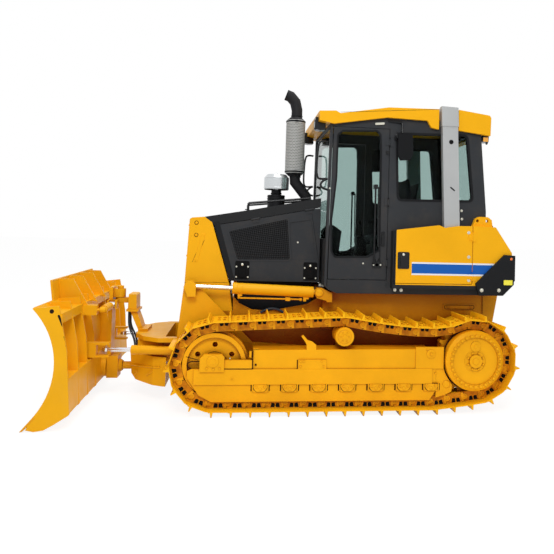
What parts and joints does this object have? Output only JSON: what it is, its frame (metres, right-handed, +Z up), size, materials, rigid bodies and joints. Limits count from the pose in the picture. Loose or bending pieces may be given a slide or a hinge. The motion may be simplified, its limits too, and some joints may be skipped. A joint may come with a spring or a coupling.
{
  "type": "bulldozer",
  "caption": "Crawler dozer with an enclosed cab, steel tracks and a front blade that lifts, angles and tilts on hydraulic cylinders.",
  "frame": {"origin": "on the ground under the middle of the overall length, in the plane of symmetry", "axes": "+X forward towards the blade, +Y to the left, +Z up"},
  "size_m": [4.444, 2.64, 3.1706],
  "materials": {
    "body_yellow": "gloss",
    "track_yellow": "satin",
    "charcoal": "satin",
    "trim_black": "matte",
    "engine_black": "matte",
    "silver": "satin",
    "muffler_grey": "satin",
    "clear_bowl": "gloss",
    "rod_chrome": "polished",
    "edge_steel": "worn",
    "seat_fabric": "woven",
    "hose_rubber": "matte",
    "cab_glass": "clear"
  },
  "bodies": {
    "chassis": {"track_left": "track_yellow", "track_right": "track_yellow", "track_frames": "track_yellow", "idlers": "track_yellow", "rollers": "track_yellow", "sprockets": "track_yellow", "main_frame": "body_yellow", "engine": "engine_black", "radiator_guard": "body_yellow", "radiator_grille": "charcoal", "hood_top": "charcoal", "exhaust": "muffler_grey", "precleaner": "clear_bowl", "cab_front": "charcoal", "cab_sides": "charcoal", "cab_rear": "charcoal", "cab_roof": "body_yellow", "rops_arch": "silver", "cab_glass": "cab_glass", "seat": "seat_fabric", "console": "trim_black", "lamps": "trim_black", "rear_body": "body_yellow", "corner_guards": "trim_black", "cab_floor": "trim_black", "frame_hose_left": "hose_rubber", "frame_hose_right": "hose_rubber"},
    "engine_door_left": {"engine_door_left": "charcoal"},
    "engine_door_right": {"engine_door_right": "charcoal"},
    "cab_door_left": {"cab_door_left": "charcoal", "door_glass_left": "cab_glass"},
    "cab_door_right": {"cab_door_right": "charcoal", "door_glass_right": "cab_glass"},
    "rear_door_left": {"rear_door_left": "body_yellow"},
    "rear_door_right": {"rear_door_right": "body_yellow"},
    "push_frame": {"c_frame": "body_yellow", "tower_hose_left": "hose_rubber", "tower_hose_right": "hose_rubber"},
    "yoke": {"blade_yoke": "body_yellow"},
    "blade": {"blade": "body_yellow", "cutting_edge": "edge_steel"},
    "lift_barrel_left": {"lift_barrel_left": "body_yellow"},
    "lift_barrel_right": {"lift_barrel_right": "body_yellow"},
    "lift_rod_left": {"lift_rod_left": "rod_chrome"},
    "lift_rod_right": {"lift_rod_right": "rod_chrome"},
    "angle_barrel_left": {"angle_barrel_left": "body_yellow"},
    "angle_barrel_right": {"angle_barrel_right": "body_yellow"},
    "angle_rod_left": {"angle_rod_left": "rod_chrome"},
    "angle_rod_right": {"angle_rod_right": "rod_chrome"},
    "tilt_barrel": {"tilt_barrel": "body_yellow"},
    "tilt_rod": {"tilt_rod": "rod_chrome"}
  },
  "joints": [
    {"name": "blade_lift", "type": "hinge", "parent": "chassis", "child": "push_frame", "pos_m": [-0.43, 0, 0.45], "axis": [0, -1, 0], "range_deg": [-10, 18.5]},
    {"name": "blade_angle", "type": "hinge", "parent": "push_frame", "child": "yoke", "pos_m": [1.705, 0, 0.261], "axis": [0, 0, 1], "range_deg": [-25, 25]},
    {"name": "blade_tilt", "type": "hinge", "parent": "yoke", "child": "blade", "pos_m": [1.835, 0, 0.261], "axis": [1, 0, 0], "range_deg": [-8, 8]},
    {"name": "cab_door_left", "type": "hinge", "parent": "chassis", "child": "cab_door_left", "pos_m": [-0.938, 0.659, 2], "axis": [0, 0, 1], "range_deg": [0, 100]},
    {"name": "cab_door_right", "type": "hinge", "parent": "chassis", "child": "cab_door_right", "pos_m": [-0.938, -0.659, 2], "axis": [0, 0, -1], "range_deg": [0, 100]},
    {"name": "engine_door_left", "type": "hinge", "parent": "chassis", "child": "engine_door_left", "pos_m": [0.418, 0.449, 1.788], "axis": [0.9804, 0, -0.1972], "range_deg": [0, 75]},
    {"name": "engine_door_right", "type": "hinge", "parent": "chassis", "child": "engine_door_right", "pos_m": [0.418, -0.449, 1.788], "axis": [-0.9804, 0, 0.1972], "range_deg": [0, 75]},
    {"name": "rear_door_left", "type": "hinge", "parent": "chassis", "child": "rear_door_left", "pos_m": [-1.7835, 0.759, 1.485], "axis": [0, 0, 1], "range_deg": [0, 100]},
    {"name": "rear_door_right", "type": "hinge", "parent": "chassis", "child": "rear_door_right", "pos_m": [-1.7835, -0.759, 1.485], "axis": [0, 0, -1], "range_deg": [0, 100]},
    {"name": "lift_barrel_left", "type": "hinge", "parent": "chassis", "child": "lift_barrel_left", "pos_m": [-0.28, 0.555, 1.09], "axis": [0, -1, 0], "range_deg": [-13, 23]},
    {"name": "lift_rod_left", "type": "slide", "parent": "lift_barrel_left", "child": "lift_rod_left", "axis": [0.9994, 0, 0.0354], "range_m": [-0.2, 0.11]},
    {"name": "lift_barrel_right", "type": "hinge", "parent": "chassis", "child": "lift_barrel_right", "pos_m": [-0.28, -0.555, 1.09], "axis": [0, -1, 0], "range_deg": [-13, 23]},
    {"name": "lift_rod_right", "type": "slide", "parent": "lift_barrel_right", "child": "lift_rod_right", "axis": [0.9994, 0, 0.0354], "range_m": [-0.2, 0.11]},
    {"name": "angle_barrel_left", "type": "hinge", "parent": "push_frame", "child": "angle_barrel_left", "pos_m": [0.96, 0.53, 0.511], "axis": [0, -1, 0], "range_deg": [-5, 5]},
    {"name": "angle_rod_left", "type": "slide", "parent": "angle_barrel_left", "child": "angle_rod_left", "axis": [0.9967, -0.0818, 0], "range_m": [-0.21, 0.21]},
    {"name": "angle_barrel_right", "type": "hinge", "parent": "push_frame", "child": "angle_barrel_right", "pos_m": [0.96, -0.53, 0.511], "axis": [0, -1, 0], "range_deg": [-5, 5]},
    {"name": "angle_rod_right", "type": "slide", "parent": "angle_barrel_right", "child": "angle_rod_right", "axis": [0.9967, 0.0818, 0], "range_m": [-0.21, 0.21]},
    {"name": "tilt_barrel", "type": "hinge", "parent": "blade", "child": "tilt_barrel", "pos_m": [1.755, 0.58, 0.9], "axis": [1, 0, 0], "range_deg": [-3, 3]},
    {"name": "tilt_rod", "type": "slide", "parent": "tilt_barrel", "child": "tilt_rod", "axis": [0, -1, 0], "range_m": [-0.09, 0.09]}
  ],
  "couplings": [
    {"joint": "lift_barrel_left", "follows": "blade_lift", "ratio": 1.186},
    {"joint": "lift_rod_left", "follows": "blade_lift", "m_per_rad": -0.6034},
    {"joint": "lift_barrel_right", "follows": "blade_lift", "ratio": 1.186},
    {"joint": "lift_rod_right", "follows": "blade_lift", "m_per_rad": -0.6034},
    {"joint": "angle_barrel_left", "follows": "blade_tilt", "ratio": 0.57},
    {"joint": "angle_rod_left", "follows": "blade_angle", "m_per_rad": -0.4678},
    {"joint": "angle_barrel_right", "follows": "blade_tilt", "ratio": -0.57},
    {"joint": "angle_rod_right", "follows": "blade_angle", "m_per_rad": 0.4678},
    {"joint": "tilt_barrel", "follows": "blade_tilt", "ratio": 0.345},
    {"joint": "tilt_rod", "follows": "blade_tilt", "m_per_rad": -0.6313}
  ]
}
